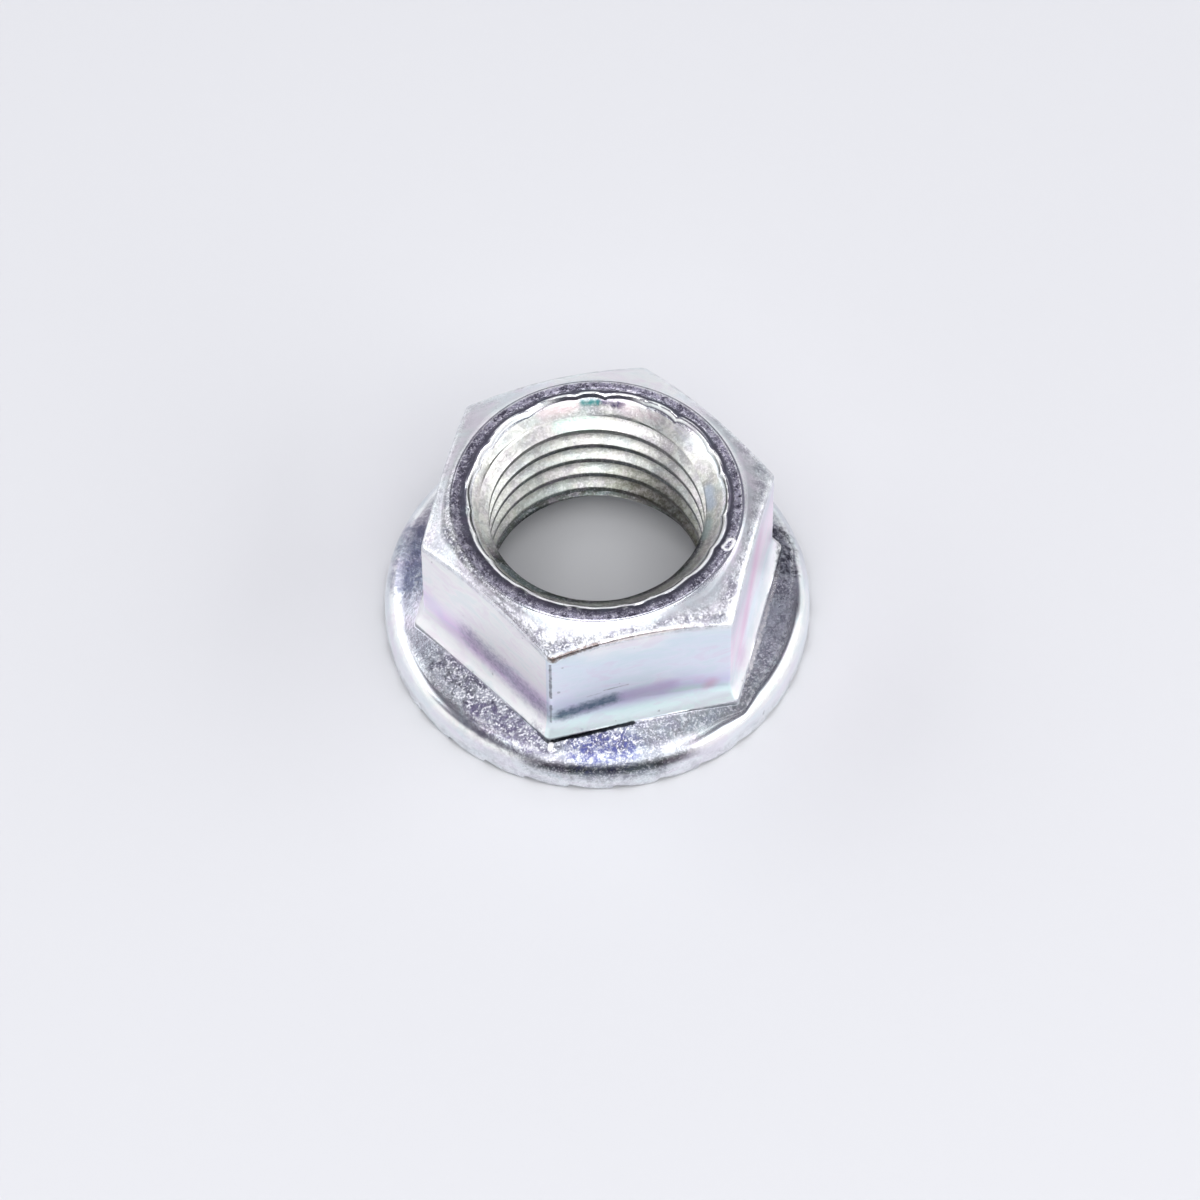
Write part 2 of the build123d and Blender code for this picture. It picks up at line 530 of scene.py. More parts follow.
# One list for each flat, in the order of FLATS
FLAT_TINTS = (MAGENTA_TINTS_AND_HIGHLIGHTS, BLUE_TINTS, PINK_TINTS_AND_HIGHLIGHTS, PINK_TINTS_AND_HIGHLIGHTS, BLUE_TINTS, MAGENTA_TINTS_AND_HIGHLIGHTS)
TINTS_TOP = 9.2  # the height where a flat's tints end

# Round the axis, with the azimuth in degrees first: brightness, grain, share of blue, roughness. The
# brightness paints in highlights and shade, in this table and the next three.
FLANGE_ROUND = (
    (3.0, 0.85, 0.8, 0.6, 0.32),
    (20.0, 0.85, 0.3, 0.3, 0.30),
    (60.0, 0.80, 0.7, 0.2, 0.34),
    (100.0, 0.65, 0.9, 0.4, 0.34),
    (140.0, 0.90, 0.2, 0.3, 0.26),
    (152.0, 0.66, 0.3, 0.9, 0.26),
    (165.0, 0.72, 0.4, 0.9, 0.26),
    (175.0, 1.05, 0.1, 0.1, 0.20),
    (186.0, 1.05, 0.1, 0.1, 0.22),
    (196.0, 0.60, 0.8, 0.3, 0.30),
    (220.0, 0.54, 1.0, 0.3, 0.34),
    (240.0, 0.60, 0.8, 0.2, 0.36),
    (258.0, 0.62, 0.9, 0.8, 0.38),
    (275.0, 0.38, 0.4, 0.0, 0.36),
    (300.0, 0.38, 0.4, 0.0, 0.34),
    (318.0, 0.78, 0.5, 0.4, 0.32),
    (333.0, 0.92, 0.4, 0.4, 0.32),
    (343.0, 1.00, 0.4, 0.1, 0.26),
    (352.0, 1.10, 0.5, 0.4, 0.30),
)
RIM_ROUND = (
    (0.0, 0.90, 0.3, 0.2, 0.24),
    (60.0, 1.0, 0.3, 0.1, 0.24),
    (150.0, 1.0, 0.2, 0.1, 0.24),
    (200.0, 1.06, 0.0, 0.0, 0.20),
    (232.0, 1.0, 0.4, 0.0, 0.24),
    (240.0, 0.62, 1.0, 0.2, 0.32),
    (272.0, 0.62, 1.0, 0.4, 0.32),
    (280.0, 0.95, 0.5, 0.0, 0.26),
    (290.0, 1.06, 0.0, 0.0, 0.20),
    (345.0, 1.06, 0.0, 0.0, 0.20),
)
# Painted shadow, nearly black, in the step under the front flat
STEP_ROUND = (
    (0.0, 0.6, 0.2, 0.1, 0.3),
    (120.0, 0.6, 0.2, 0.1, 0.3),
    (215.0, 0.6, 0.4, 0.1, 0.3),
    (236.0, 0.8, 0.4, 0.0, 0.3),
    (240.5, 0.01, 0.4, 0.0, 0.4),
    (264.0, 0.02, 0.4, 0.0, 0.4),
    (270.0, 0.7, 0.6, 0.0, 0.3),
    (295.0, 1.0, 0.3, 0.0, 0.3),
    (355.0, 1.0, 0.3, 0.0, 0.3),
)
CHAMFER_ROUND = (
    (0.0, 0.80, 0.6, 0.3, 0.32),
    (25.0, 0.95, 0.4, 0.2, 0.28),
    (45.0, 1.45, 0.03, 0.1, 0.26),
    (90.0, 1.45, 0.03, 0.1, 0.26),
    (125.0, 0.90, 0.15, 0.2, 0.28),
    (165.0, 0.74, 0.4, 0.1, 0.28),
    (190.0, 0.76, 0.4, 0.0, 0.24),
    (215.0, 0.98, 0.8, 0.0, 0.32),
    (240.0, 0.80, 1.1, 0.0, 0.36),
    (275.0, 0.77, 0.9, 0.0, 0.34),
    (300.0, 0.80, 0.9, 0.1, 0.34),
    (330.0, 0.76, 0.8, 0.1, 0.32),
)
ROUND_TABLES = {
    "flange": FLANGE_ROUND,
    "crease": STEP_ROUND,
    "chamfer": CHAMFER_ROUND,
    "rim": RIM_ROUND,
    "step": STEP_ROUND,
}
# Round the axis: brightness of the bore's cone, of the thread and of the crown's land. On the cone and the
# thread it paints in highlights and shade.
CONE_ROUND = (
    (0.0, 0.62),
    (22.0, 1.5),
    (45.0, 1.0),
    (75.0, 0.48),
    (118.0, 0.80),
    (150.0, 0.78),
    (230.0, 0.75),
    (300.0, 0.6),
)
THREAD_ROUND = (
    (0.0, 0.62),
    (22.0, 0.9),
    (45.0, 0.92),
    (75.0, 0.74),
    (118.0, 0.84),
    (150.0, 0.95),
    (230.0, 0.75),
    (300.0, 0.6),
)
LAND_ROUND = ((0.0, 1.0), (75.0, 1.45), (120.0, 1.0), (180.0, 0.7), (250.0, 1.15), (300.0, 1.0))
# Shade of each row of the rim's arc, from its top: the dark band of painted reflection at the front, and the
# painted highlight on the lit side
FRONT_RIM_SHADE = (1.0, 1.0, 1.0, 1.1, 1.0, 0.5, 0.13, 0.13, 0.3, 0.9, 1.1, 1.2)
LIT_RIM_SHADE = (0.55, 0.55, 0.6, 0.8, 1.1, 1.1, 1.1, 1.1, 1.0, 1.0, 1.0, 1.0)
# Each stretch of the section: colour, grain, roughness, metallic
STYLES = {
    "thread": (BORE_COLOUR, 0.30, 0.32, 0.95),
    "cone": (BORE_COLOUR, 0.22, 0.34, 0.95),
    "ridge": (STEEL, 0.12, 0.18, 1.0),
    "land": (LAND_COLOUR, 0.85, 0.28, 1.0),
    "crown_edge": (STEEL, 0.08, 0.24, 1.0),
    "chamfer": (CHAMFER_COLOUR, 0.75, 0.36, 1.0),
    "hex_edge": (STEEL, 0.3, 0.26, 0.9),
    "flat": (STEEL, 0.0, 0.32, 0.68),
    "cove": (STEEL, 0.0, 0.34, 0.45),
    "step": (STEEL, 0.6, 0.3, 1.0),
    "crease": (STEEL, 0.8, 0.3, 1.0),
    "flange": (FLANGE_COLOUR, 1.0, 0.36, 1.0),
    "rim": (STEEL, 0.45, 0.20, 1.0),
    "wall": (STEEL, 0.25, 0.26, 1.0),
    "foot": (STEEL, 0.25, 0.28, 1.0),
    "serration": (STEEL, 0.5, 0.26, 1.0),
    "bearing": (STEEL, 0.4, 0.24, 1.0),
    "relief": (FLANGE_COLOUR, 0.5, 0.26, 1.0),
    "lower_cone": (BORE_COLOUR, 0.3, 0.3, 1.0),
}

paint = np.zeros((row_count, columns, 3))
grain = np.zeros((row_count, columns))
roughness = np.zeros((row_count, columns))
metal_share = np.zeros((row_count, columns))


def graded(stops, share):
    """Colour at a share along a list of stops."""
    places = [place for place, _ in stops]
    return np.stack([np.interp(share, places, [colour[c] for _, colour in stops]) for c in range(3)], axis=-1)


def around(stops, column=1):
    """One column of a list of stops that goes round the axis."""
    return np.interp(degrees, [stop[0] for stop in stops], [stop[column] for stop in stops], period=360)


def rows_of(wanted):
    return [row for row, region in enumerate(row_regions) if region == wanted]


def shade_row(row, factor):
    """Multiply the paint of a row by one factor for each column."""
    paint[row] *= np.reshape(factor, (-1, 1))


def blend_row(row, colour, share):
    """Move the paint of a row towards a colour, by one share for each column."""
    share = share[:, None]
    paint[row] = paint[row] * (1 - share) + colour * share


def paint_regions():
    """The style of each row, changed round the axis where its stretch has a table, whose brightness paints in
    highlights and shade.
    """
    for row, region in enumerate(row_regions):
        paint[row], grain[row], roughness[row], metal_share[row] = STYLES[region]
        table = ROUND_TABLES.get(region)
        if table:
            blend_row(row, BLUE, around(table, 3) * 0.35)
            shade_row(row, around(table))
            paint[row] = np.minimum(paint[row], PALEST)
            grain[row] *= around(table, 2)
            roughness[row] = around(table, 4)


# Heights between which each painted shade of the bore sets in
CREST_FADE = (9.6, 7.0)
BORE_FADE = (8.6, 2.6)
CONE_BLEND = (8.75, 8.95)
BOTTOM_BLEND = (3.5, 2.6)
NEAR_BLEND = (LAND_HEIGHT - 0.62, LAND_HEIGHT - 0.77)
near_side = facing(-100.0, 0.1, 0.4)


def paint_bore():
    """Painted shade: dark undersides of the crests, a bore darker towards the bottom, and a near side that
    looks nearly black.
    """
    for row in range(thread_count):
        height = heights[row]
        _, darkness = TURN_ROWS[row % len(TURN_ROWS)]
        blend_row(row, SHADOW_GREEN, darkness * np.maximum(ramp(height, *CREST_FADE), 0.2))
        paint[row] *= 1 - ramp(height, *BORE_FADE)[:, None] * (0.36, 0.33, 0.38)
        in_cone = ramp(height, *CONE_BLEND)
        shade_row(row, in_cone * around(CONE_ROUND) + (1 - in_cone) * around(THREAD_ROUND))
        blend_row(row, BORE_BOTTOM_SHADE, 0.85 * ramp(height, *BOTTOM_BLEND))
        blend_row(row, DEEP_BORE_SHADE, 0.95 * near_side * ramp(height, *NEAR_BLEND))
    for row in rows_of("cone"):
        shade_row(row, around(CONE_ROUND))


def paint_ridge():
    """A cream line of painted highlight between two dark lines of painted shadow on the near side, and bare
    metal elsewhere.
    """
    for row, (offset, shade) in zip(rows_of("ridge"), RIDGE_ROWS):
        shade_row(row, shade)
        if offset < -0.17:
            shade_row(row, around(CONE_ROUND))
        if offset < -0.14 or offset > 0.16:
            shade_row(row, 1 - 0.4 * near_side)
        elif -0.1 < offset < 0.1:
            metal_share[row] = 1 - 0.75 * near_side


def paint_crown():
    """The land, and the crown's cone with its edge duller and rougher at the left."""
    for row in rows_of("land"):
        shade_row(row, around(LAND_ROUND))
    for row, (_, share) in zip(rows_of("chamfer"), CHAMFER_ROWS):
        grain[row] *= share
    left_side = np.exp(-(((degrees - 190.0) / 35.0) ** 2))
    for row in rows_of("crown_edge") + rows_of("chamfer")[:1]:
        shade_row(row, 1 - 0.5 * left_side)
        grain[row] += 0.7 * left_side


def paint_rim():
    """A dark band of painted reflection along the front of the rim, and a painted highlight line beside it.
    """
    front_side = facing(-101.0, 0.90, 0.95)
    lit_side = facing(-90.0, 0.2, 0.35) * (1 - front_side)
    for row, front_shade, lit_shade in zip(rows_of("rim"), FRONT_RIM_SHADE, LIT_RIM_SHADE):
        shade_row(row, 1 - (1 - front_shade) * front_side)
        shade_row(row, 1 - (1 - lit_shade) * lit_side)


def paint_flats():
    """Coloured bands across the flats, some of them painted highlights, and less metallic plating on the two
    side flats.
    """
    wander = waves((7, 17), (0.05, 0.03))
    for row in rows_of("flat") + rows_of("cove"):
        share = (heights[row] - COVE_FOOT_HEIGHT) / (TINTS_TOP - COVE_FOOT_HEIGHT)
        if row_regions[row] == "flat":
            share = share + wander
        for k, stops in enumerate(FLAT_TINTS):
            mine = flat_index == k
            paint[row, mine] = graded(stops, np.clip(share, 0, 1))[mine]
        metal_share[row, flat_index == RIGHT_FLAT] = 0.55
        metal_share[row, flat_index == LEFT_FLAT] -= 0.18


paint_regions()
paint_bore()
paint_ridge()
paint_crown()
paint_rim()
paint_flats()
paint = np.minimum(paint, PALEST)

# ---------------------------------------------------------------- mesh: rows and columns joined
MERGE_DISTANCE = 0.00005
SLIVER = 0.0002
SHARP_ANGLE = math.radians(28.0)


def quad_faces():
    """Four-cornered faces. In the thread, the last column meets the first one a turn higher up."""
    faces = []
    for column in range(columns):
        last = column == columns - 1
        right = (column + 1) % columns
        for row in range(row_count):
            up = (row + 1) % row_count
            climb = len(TURN_ROWS) if last and row < thread_count - 1 else 0
            if climb and up + climb > thread_count - 1:
                continue
            corners = ((row, column), (up, column), (up + climb, right), (row + climb, right))
            faces.append([r * columns + c for r, c in corners])
    return faces


def nut_mesh():
    """The closed surface, with its paint, grain, roughness and share of metal at each point."""
    radius = grid[:, :, 0]
    coordinates = np.stack([radius * np.cos(azimuth), radius * np.sin(azimuth), heights], axis=-1)
    surface = bpy.data.meshes.new("flange_nut_surface")
    surface.from_pydata(coordinates.reshape(-1, 3).tolist(), [], quad_faces())
    colours = np.concatenate([paint, np.ones((row_count, columns, 1))], axis=-1)
    surface.attributes.new("paint", "FLOAT_COLOR", "POINT").data.foreach_set("color", colours.ravel())
    for name, values in (("grain", grain), ("roughness", roughness), ("metal_share", metal_share)):
        surface.attributes.new(name, "FLOAT", "POINT").data.foreach_set("value", values.ravel())
    bm = bmesh.new()
    bm.from_mesh(surface)
    bmesh.ops.remove_doubles(bm, verts=bm.verts, dist=MERGE_DISTANCE)
    bmesh.ops.dissolve_degenerate(bm, edges=bm.edges, dist=SLIVER)
    bmesh.ops.recalc_face_normals(bm, faces=bm.faces)
    bm.to_mesh(surface)
    bm.free()
    surface.transform(Matrix.Scale(MM, 4))
    surface.shade_smooth()
    surface.set_sharp_from_angle(angle=SHARP_ANGLE)
    return surface


mesh = nut_mesh()
nut = bpy.data.objects.new("nut", mesh)
bpy.context.scene.collection.objects.link(nut)

# ---------------------------------------------------------------- nodes


class Nodes:
    """Short forms for adding and joining the nodes of a material or a world."""

    def __init__(self, owner):
        owner.use_nodes = True
        self.tree = owner.node_tree

    def add(self, kind):
        return self.tree.nodes.new("ShaderNode" + kind)

    def feed(self, socket, value):
        """Join an output to a socket, or set the socket's own value. A colour may lack its alpha."""
        if isinstance(value, bpy.types.NodeSocket):
            self.tree.links.new(value, socket)
        elif isinstance(value, tuple) and len(value) < len(socket.default_value):
            socket.default_value = (*value, 1.0)
        else:
            socket.default_value = value

    def calc(self, operation, *values):
        node = self.add("Math")
        node.operation = operation
        for value, socket in zip(values, node.inputs):
            self.feed(socket, value)
        return node.outputs[0]

    def vector(self, operation, *values, output=0):
        node = self.add("VectorMath")
        node.operation = operation
        for value, socket in zip(values, node.inputs):
            self.feed(socket, value)
        return node.outputs[output]

    def between(self, value, low, high, start=0.0, end=1.0, smooth=False):
        """A value's way from low to high, as a way from start to end that stays level past them."""
        node = self.add("MapRange")
        if smooth:
            node.interpolation_type = "SMOOTHSTEP"
        self.feed(node.inputs["Value"], value)
        for name, limit in (("From Min", low), ("From Max", high), ("To Min", start), ("To Max", end)):
            self.feed(node.inputs[name], limit)
        return node.outputs["Result"]

    def mix(self, share, first, second, blend="MIX"):
        node = self.add("Mix")
        node.data_type = "RGBA"
        node.blend_type = blend
        for name, value in (("Factor", share), ("A", first), ("B", second)):
            self.feed(node.inputs[name], value)
        return node.outputs["Result"]

    def noise(self, place, scale, detail, rough=0.5, distortion=0.0):
        node = self.add("TexNoise")
        settings = (("Vector", place), ("Scale", scale), ("Detail", detail), ("Roughness", rough))
        for name, value in settings + (("Distortion", distortion),):
            self.feed(node.inputs[name], value)
        return node.outputs[0]

    def attribute(self, name, output="Fac"):
        node = self.add("Attribute")
        node.attribute_name = name
        return node.outputs[output]


# ---------------------------------------------------------------- zinc plate
VIOLET = (0.34, 0.31, 0.50)
STREAK_TINT = (0.62, 0.72, 0.80)
PINK_CLOUD = (0.80, 0.62, 0.80)
MINT_CLOUD = (0.62, 0.82, 0.84)
GLINT = (0.93, 0.93, 0.95)
WHITE = (0.97, 0.97, 0.97)
SPECK = (0.12, 0.12, 0.15)
DARK_LINE = (0.10, 0.10, 0.12)
BUMP_DEPTH = 0.06
STREAK_STRETCH = (0.35, 0.35, 3.0)  # streaks run level
CLOUD_STRETCH = (0.7, 0.7, 1.6)

# Marks on the nut, in millimetres: start, end, (half width, softness, wobble), colour, strength, and how
# far the speckle of the plating breaks the mark up
MARKS = {
    "teal streak on the front flat": (
        (-3.9, -7.96, 3.75), (-1.3, -8.0, 4.30), (0.14, 0.50, 0.5), (0.12, 0.19, 0.27), 0.95, 0.2),
    "lilac streak on the front flat": (
        (-0.7, -8.01, 4.35), (1.6, -8.04, 4.50), (0.15, 0.45, 0.3), (0.62, 0.50, 0.78), 0.6, 0.0),
    "pink spot on the front flat": (
        (3.6, -8.08, 3.75), (3.7, -8.08, 3.9), (0.05, 0.5, 0.2), (0.75, 0.42, 0.60), 0.55, 0.0),
    "scratch on the front flat": (
        (-1.76, -7.99, 5.15), (-0.55, -8.01, 5.25), (0.015, 0.04, 0.08), DARK_LINE, 0.5, 0.5),
    "upper scratch on the front flat": (
        (-2.6, -7.99, 4.9), (-1.9, -7.99, 5.0), (0.01, 0.04, 0.08), DARK_LINE, 0.4, 0.5),
    "brown upper edge of the front flat": (
        (-4.3, -7.93, 8.76), (-2.0, -7.93, 9.30), (0.10, 0.06, 0.2), (0.16, 0.10, 0.08), 0.85, 0.3),
    # A painted highlight along the rounded upper edge of the front flat
    "painted highlight on the upper edge of the front flat": (
        (-1.8, -7.93, 9.32), (3.4, -7.98, 9.22), (0.09, 0.07, 0.15), (0.95, 0.84, 0.80), 0.8, 0.3),
    "dent at the front corner": (
        (-4.45, -7.85, 8.72), (-4.2, -7.9, 8.65), (0.10, 0.12, 0.3), (0.20, 0.15, 0.13), 0.8, 0.5),
    "line down the front corner": (
        (-4.45, -7.905, 8.3), (-4.45, -7.905, 5.4), (0.05, 0.04, 0.12), DARK_LINE, 0.8, 0.3),
    "foot of the line down the front corner": (
        (-4.45, -7.905, 4.7), (-4.47, -7.94, 3.3), (0.05, 0.04, 0.12), (0.12, 0.14, 0.16), 0.8, 0.3),
    "violet streak on the left flat": (
        (-7.2, -3.0, 4.6), (-4.9, -7.2, 4.0), (0.25, 0.95, 0.9), (0.30, 0.27, 0.42), 0.75, 0.4),
    "blue patch on the left flange": (
        (-9.2, 3.0, 2.05), (-8.2, 5.6, 2.1), (0.5, 0.7, 1.2), (0.08, 0.09, 0.20), 0.65, 0.3),
    "blue speckles on the front flange": (
        (-3.2, -9.3, 2.1), (-1.2, -9.6, 2.1), (0.4, 0.7, 1.2), (0.07, 0.08, 0.26), 0.8, 1.0),
    "dark speckles left of the front": (
        (-7.6, -5.9, 2.1), (-5.6, -8.0, 2.1), (0.5, 0.6, 0.9), (0.16, 0.14, 0.24), 0.6, 1.0),
    # Painted shadow, nearly black, in the gap under the front flat
    "painted shadow in the gap under the front flat": (
        (-4.55, -8.46, 2.3), (-0.4, -8.50, 2.44), (0.08, 0.05, 0.15), (0.010, 0.012, 0.015), 0.95, 0.0),
    # A painted highlight, white, on the crease under the front corner
    "painted highlight under the front corner": (
        (-4.6, -8.45, 2.05), (-4.7, -8.65, 2.0), (0.08, 0.08, 0.2), WHITE, 0.9, 0.0),
    "magenta band on the right flat": (
        (5.7, -6.5, 3.8), (7.6, -3.2, 7.8), (0.1, 1.3, 0.6), (0.80, 0.46, 0.68), 0.6, 0.0),
    # A painted highlight, white, along the foot of the right flat
    "painted highlight along the foot of the right flat": (
        (5.61, -7.65, 2.35), (9.47, -0.64, 2.35), (0.08, 0.08, 0.5), WHITE, 0.9, 0.3),
    "dark patch on the right flange": (
        (9.4, -1.4, 2.0), (9.6, 0.6, 2.0), (0.4, 0.5, 0.9), (0.04, 0.04, 0.06), 0.85, 0.6),
    "green tint in the bore": (
        (-0.4, 5.6, 8.6), (1.2, 5.6, 8.35), (0.15, 0.35, 0.3), (0.55, 0.85, 0.70), 0.55, 0.0),
    "violet patch at the back of the cone": (
        (1.7, 5.95, 9.45), (2.8, 5.45, 9.45), (0.07, 0.16, 0.4), (0.05, 0.04, 0.09), 0.95, 0.2),
    "teal patch at the back of the cone": (
        (0.9, 6.1, 9.45), (1.7, 5.95, 9.42), (0.07, 0.16, 0.4), (0.03, 0.16, 0.16), 0.95, 0.2),
    "pink tint left in the cone": (
        (-1.2, 6.0, 9.4), (0.4, 6.1, 9.4), (0.1, 0.4, 0.3), (0.85, 0.68, 0.70), 0.5, 0.0),
    "pink tint right in the cone": (
        (3.0, 5.3, 9.3), (4.2, 4.4, 9.3), (0.1, 0.4, 0.3), (0.70, 0.58, 0.62), 0.6, 0.4),
    "blue-grey patch right in the cone": (
        (5.55, -0.4, 9.1), (5.5, -1.3, 9.1), (0.15, 0.3, 0.4), (0.42, 0.48, 0.58), 0.7, 0.0),
    "teal patch right in the cone": (
        (5.1, -2.3, 9.05), (4.7, -3.0, 9.05), (0.12, 0.25, 0.4), (0.40, 0.48, 0.48), 0.7, 0.0),
    "brown shade low in the bore": (
        (5.1, 1.6, 3.0), (3.6, 4.0, 3.4), (0.9, 1.8, 0.9), (0.05, 0.045, 0.03), 0.85, 0.2),
    "yellow glint low in the bore": (
        (5.35, 1.2, 3.9), (5.35, 1.0, 3.6), (0.05, 0.10, 0.3), (0.95, 0.95, 0.40), 0.9, 0.5),
}
# A loop-shaped scar on the crown, raised and bright
SCAR = ((5.45, -4.35, 9.79), (5.75, -4.10, 9.70))
SCAR_OUTSIDE = (0.20, 0.06, 0.2)
SCAR_INSIDE = (0.09, 0.06, 0.2)

metal = bpy.data.materials.new("zinc_plate")
plate = Nodes(metal)
shader = metal.node_tree.nodes["Principled BSDF"]
spot = plate.vector("MULTIPLY", plate.add("TexCoord").outputs["Object"], (1 / MM, 1 / MM, 1 / MM))
level_spot = plate.vector("MULTIPLY", spot, STREAK_STRETCH)
cloud_spot = plate.vector("MULTIPLY", spot, CLOUD_STRETCH)
grainy = plate.attribute("grain")
blotch = plate.noise(spot, 1.3, 2.0, 0.5, 0.5)
speckle = plate.noise(spot, 3.6, 4.0, 0.75, 0.3)
fine = plate.noise(spot, 9.5, 2.0, 0.6)
streaks = plate.noise(level_spot, 1.6, 3.0, 0.55)


def weighted(*terms):
    """Sum of outputs, each times its weight."""
    total = 0.0
    for output, weight in terms:
        total = plate.calc("MULTIPLY_ADD", output, weight, total)
    return total


def grainy_base():
    """The painted colour with the speckle, violet blotches, clouds and glints of the plating."""
    mottle = weighted((blotch, 0.34), (speckle, 0.40), (fine, 0.26))
    tone = plate.between(mottle, 0.435, 0.545, 0.22, 1.12)
    tone = plate.calc("MULTIPLY_ADD", plate.calc("SUBTRACT", tone, 1.0), grainy, 1.0)
    violet = plate.calc("MULTIPLY", plate.between(blotch, 0.52, 0.40, 0.0, 0.45), grainy)
    glint = plate.between(weighted((speckle, 0.4), (fine, 0.6)), 0.53, 0.58, 0.0, 0.8)
    glint = plate.calc("MULTIPLY", glint, grainy)
    smooth = plate.calc("SUBTRACT", 1.0, plate.calc("MINIMUM", grainy, 1.0))
    cloud = plate.noise(cloud_spot, 0.8, 3.0, 0.6, 0.6)
    pink = plate.calc("MULTIPLY", plate.between(cloud, 0.52, 0.62, 0.0, 0.22), smooth)
    mint = plate.calc("MULTIPLY", plate.between(cloud, 0.48, 0.38, 0.0, 0.20), smooth)
    base = plate.mix(violet, plate.attribute("paint", "Color"), VIOLET)
    base = plate.mix(plate.between(streaks, 0.35, 0.65, 0.0, 0.10), base, STREAK_TINT)
    base = plate.mix(pink, base, PINK_CLOUD)
    base = plate.mix(mint, base, MINT_CLOUD)
    base = plate.mix(1.0, base, tone, "MULTIPLY")
    return plate.mix(glint, base, GLINT)


def stroke(start, end, brush):
    """Mask of a stroke between two points of the nut, with an uneven edge: 1 on it, 0 off it."""
    half_width, softness, wobble = brush
    reach = Vector(end) - Vector(start)
    offset = plate.vector("SUBTRACT", spot, start)
    along = plate.vector("DOT_PRODUCT", offset, tuple(reach / reach.length_squared), output="Value")
    along = plate.calc("MINIMUM", plate.calc("MAXIMUM", along, 0.0), 1.0)
    offset = plate.vector("SUBTRACT", offset, plate.vector("MULTIPLY", along, tuple(reach)))
    distance = plate.vector("LENGTH", offset, output="Value")
    distance = plate.calc("MULTIPLY_ADD", plate.calc("SUBTRACT", speckle, 0.5), wobble, distance)
    return plate.between(distance, half_width, half_width + softness, 1.0, 0.0)


def marked(base):
    """The base colour with the marks painted over it."""
    for start, end, brush, colour, strength, broken in MARKS.values():
        mask = stroke(start, end, brush)
        if broken > 0:
            mask = plate.calc("MULTIPLY", mask, plate.between(speckle, 0.42, 0.56, 1.0, 1.0 - broken))
        base = plate.mix(plate.calc("MULTIPLY", mask, strength), base, colour)
    return base


def finish_plate():
    """Join colour, metal, roughness and relief to the shader."""
    scar = plate.calc("SUBTRACT", stroke(*SCAR, SCAR_OUTSIDE), stroke(*SCAR, SCAR_INSIDE))
    specks = plate.between(plate.noise(spot, 2.6, 1.0), 0.76, 0.79, 0.0, 0.4)
    specks = plate.calc("MULTIPLY", specks, plate.calc("SUBTRACT", 1.0, grainy))
    base = plate.mix(scar, marked(grainy_base()), WHITE)
    plate.feed(shader.inputs["Base Color"], plate.mix(specks, base, SPECK))
    metallic = plate.calc("MULTIPLY_ADD", scar, -0.8, plate.attribute("metal_share"))
    plate.feed(shader.inputs["Metallic"], metallic)
    uneven = plate.calc("MULTIPLY", plate.calc("SUBTRACT", speckle, 0.5), grainy)
    dullness = plate.calc("MULTIPLY_ADD", uneven, 0.4, plate.attribute("roughness"))
    plate.feed(shader.inputs["Roughness"], dullness)
    relief = plate.calc("MULTIPLY", weighted((speckle, 1.0), (fine, 0.5)), grainy)
    relief = weighted((relief, 1.0), (streaks, 0.03), (scar, 0.6))
    bump = plate.add("Bump")
    bump.inputs["Distance"].default_value = BUMP_DEPTH * MM
    bump.inputs["Strength"].default_value = 1.0
    plate.feed(bump.inputs["Height"], relief)
    plate.feed(shader.inputs["Normal"], bump.outputs["Normal"])


finish_plate()
mesh.materials.append(metal)

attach(nut, "root")
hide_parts("flange_nut")

# ---------------------------------------------------------------- floor, in metres
FLOOR_RADIUS = 1.4
FLOOR_COLOUR = (0.735, 0.746, 0.762, 1)
FLOOR_ROUGHNESS = 0.6
bpy.ops.mesh.primitive_circle_add(vertices=96, radius=FLOOR_RADIUS, fill_type="NGON")
floor = bpy.context.object
floor.name = "floor"
floor_paint = bpy.data.materials.new("floor_white")
floor_paint.use_nodes = True
floor_shader = floor_paint.node_tree.nodes["Principled BSDF"]
floor_shader.inputs["Base Color"].default_value = FLOOR_COLOUR
floor_shader.inputs["Roughness"].default_value = FLOOR_ROUGHNESS
floor.data.materials.append(floor_paint)

# ---------------------------------------------------------------- camera, at the photograph's viewing angle
VIEW_AZIMUTH = math.radians(-104.533)
VIEW_ELEVATION = math.radians(55.131)
VIEW_ROLL = math.radians(0.42)
VIEW_DISTANCE = 320.0
VIEW_FOCAL_PIXELS = 6500.8
IMAGE_SIZE = 1200.0
AIM_PIXEL = (596.5, 499.2)  # where the photograph shows the centre of the crown
SENSOR_WIDTH = 36.0


def direction(turn, rise):
    """Unit vector at an azimuth and an elevation in radians."""
    return Vector((math.cos(rise) * math.cos(turn), math.cos(rise) * math.sin(turn), math.sin(rise)))


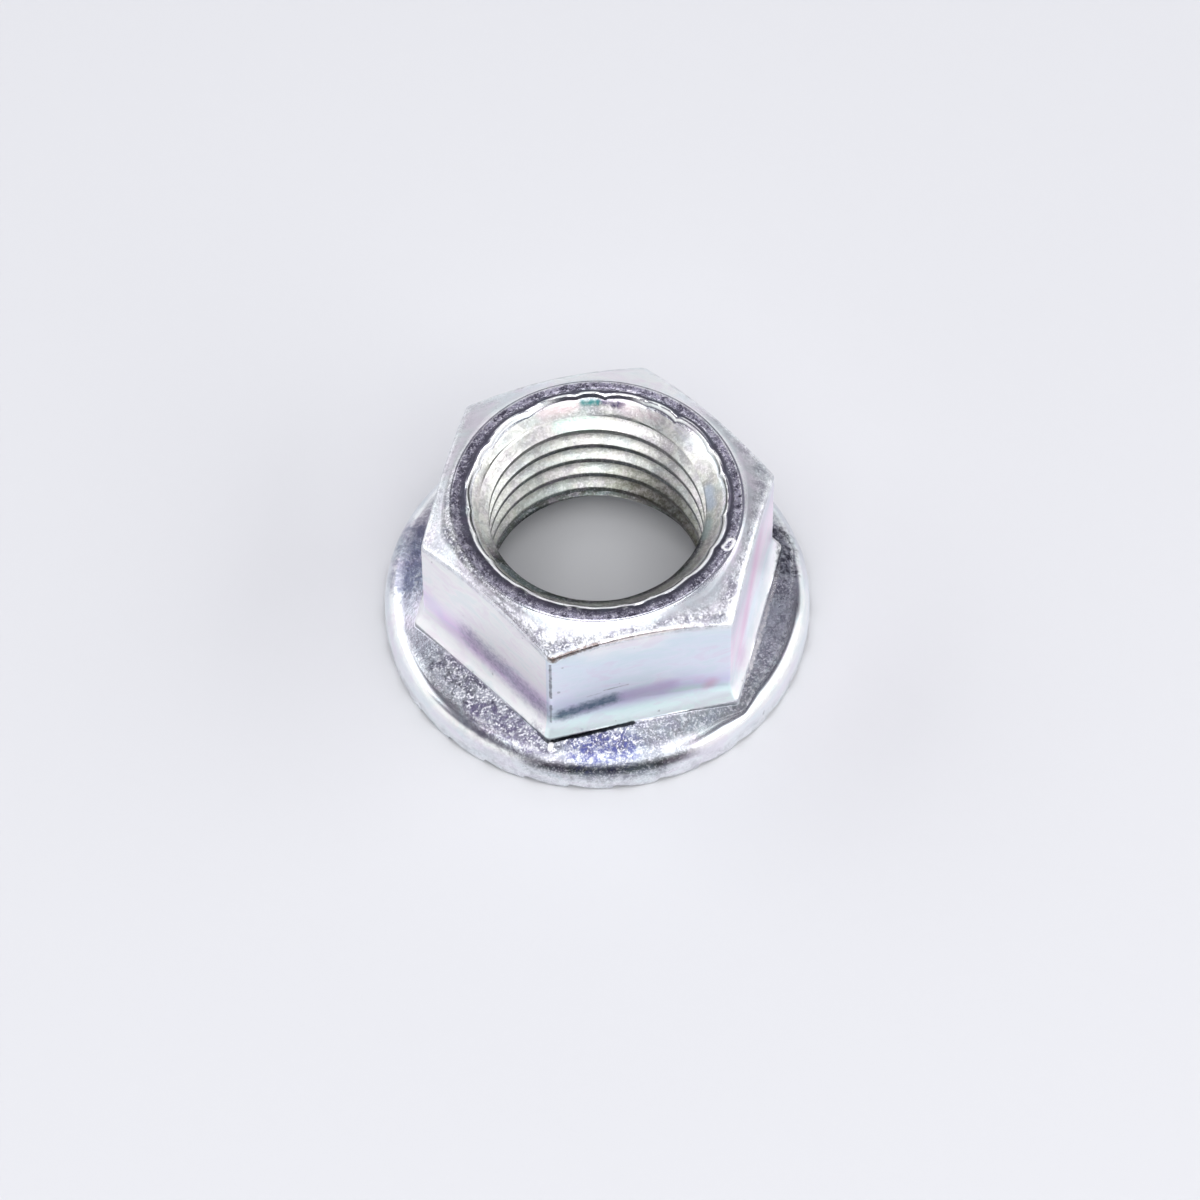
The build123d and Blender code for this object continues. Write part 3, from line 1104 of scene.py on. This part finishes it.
def add_camera():
    """The camera, turned so that the centre of the crown falls on its pixel."""
    back = direction(VIEW_AZIMUTH, VIEW_ELEVATION)
    level_right = Vector((0, 0, 1)).cross(back).normalized()
    level_up = back.cross(level_right)
    right = level_right * math.cos(VIEW_ROLL) - level_up * math.sin(VIEW_ROLL)
    up = level_right * math.sin(VIEW_ROLL) + level_up * math.cos(VIEW_ROLL)
    frame_turn = Matrix((right, up, back)).transposed()
    aim_ray = Vector((AIM_PIXEL[0] - IMAGE_SIZE / 2, IMAGE_SIZE / 2 - AIM_PIXEL[1], -VIEW_FOCAL_PIXELS))
    aim_turn = aim_ray.normalized().rotation_difference(Vector((0, 0, -1))).to_matrix()
    place = Vector((0, 0, NUT_HEIGHT)) + back * VIEW_DISTANCE
    camera_data = bpy.data.cameras.new("camera")
    camera_data.sensor_width = SENSOR_WIDTH
    camera_data.lens = VIEW_FOCAL_PIXELS / IMAGE_SIZE * SENSOR_WIDTH
    camera_data.clip_start = 0.01
    camera_data.clip_end = 5.0
    camera = bpy.data.objects.new("camera", camera_data)
    camera.matrix_world = Matrix.Translation(place * MM) @ (frame_turn @ aim_turn).to_4x4()
    bpy.context.scene.collection.objects.link(camera)
    bpy.context.scene.camera = camera


add_camera()

# ---------------------------------------------------------------- light: surround, ceiling, softboxes
SURROUND = (1.0, 1.0, 1.0)
CEILING = (0.16, 0.15, 0.20)
NEAR_SIDE = (0.05, 0.05, 0.07)
BACKDROP = (0.87, 0.88, 0.92)
CEILING_EDGE = (20.0, 30.0)  # elevations in degrees between which the surround turns into the ceiling
NEAR_SIDE_EDGE = (38.0, 42.0)  # elevations between which the dark near side ends
NEAR_SIDE_SPREAD = (38.0, 26.0)  # turns in degrees from the camera's azimuth, outside to inside
# Softboxes: azimuth from the camera's and elevation in degrees, width and height in metres, radiance
SOFTBOXES = (
    ("softbox_left", -112.0, 36.0, 0.44, 0.20, 1.9),
    ("softbox_right", 80.0, 32.0, 0.64, 0.24, 2.1),
    ("softbox_top", 0.0, 69.0, 0.46, 0.56, 2.6),
)
BOX_DISTANCE = 0.5


def add_room():
    """The surround that the nut reflects, and the even backdrop that the camera sees."""
    world = bpy.data.worlds.new("studio")
    bpy.context.scene.world = world
    room = Nodes(world)
    way = room.add("TexCoord").outputs["Generated"]
    split = room.add("SeparateXYZ")
    room.feed(split.inputs[0], way)
    height = split.outputs["Z"]
    toward = room.vector("DOT_PRODUCT", way, tuple(direction(VIEW_AZIMUTH, 0.0)), output="Value")
    level_squared = room.calc("MULTIPLY_ADD", room.calc("MULTIPLY", height, height), -1.0, 1.0001)
    toward = room.calc("DIVIDE", toward, room.calc("SQRT", level_squared))
    ceiling_low, ceiling_high = (math.sin(math.radians(edge)) for edge in CEILING_EDGE)
    near_low, near_high = (math.sin(math.radians(edge)) for edge in NEAR_SIDE_EDGE)
    outside, inside = (math.cos(math.radians(turn)) for turn in NEAR_SIDE_SPREAD)
    near = room.between(toward, outside, inside, smooth=True)
    below = room.between(height, near_low, near_high, 1.0, 0.0, smooth=True)
    colour = room.mix(room.between(height, ceiling_low, ceiling_high, smooth=True), SURROUND, CEILING)
    colour = room.mix(room.calc("MULTIPLY", near, below), colour, NEAR_SIDE)
    colour = room.mix(room.add("LightPath").outputs["Is Camera Ray"], colour, BACKDROP)
    background = world.node_tree.nodes["Background"]
    background.inputs["Strength"].default_value = 1.0
    room.feed(background.inputs["Color"], colour)


def add_softbox(name, turn, rise, width, tall, radiance):
    box_data = bpy.data.lights.new(name, "AREA")
    box_data.shape = "RECTANGLE"
    box_data.size = width
    box_data.size_y = tall
    box_data.energy = radiance * math.pi * width * tall
    box = bpy.data.objects.new(name, box_data)
    bpy.context.scene.collection.objects.link(box)
    way = direction(VIEW_AZIMUTH + math.radians(turn), math.radians(rise))
    box.location = way * BOX_DISTANCE
    box.rotation_mode = "QUATERNION"
    box.rotation_quaternion = way.to_track_quat("Z", "Y")


add_room()
for softbox in SOFTBOXES:
    add_softbox(*softbox)
bpy.context.scene.view_settings.view_transform = "Standard"
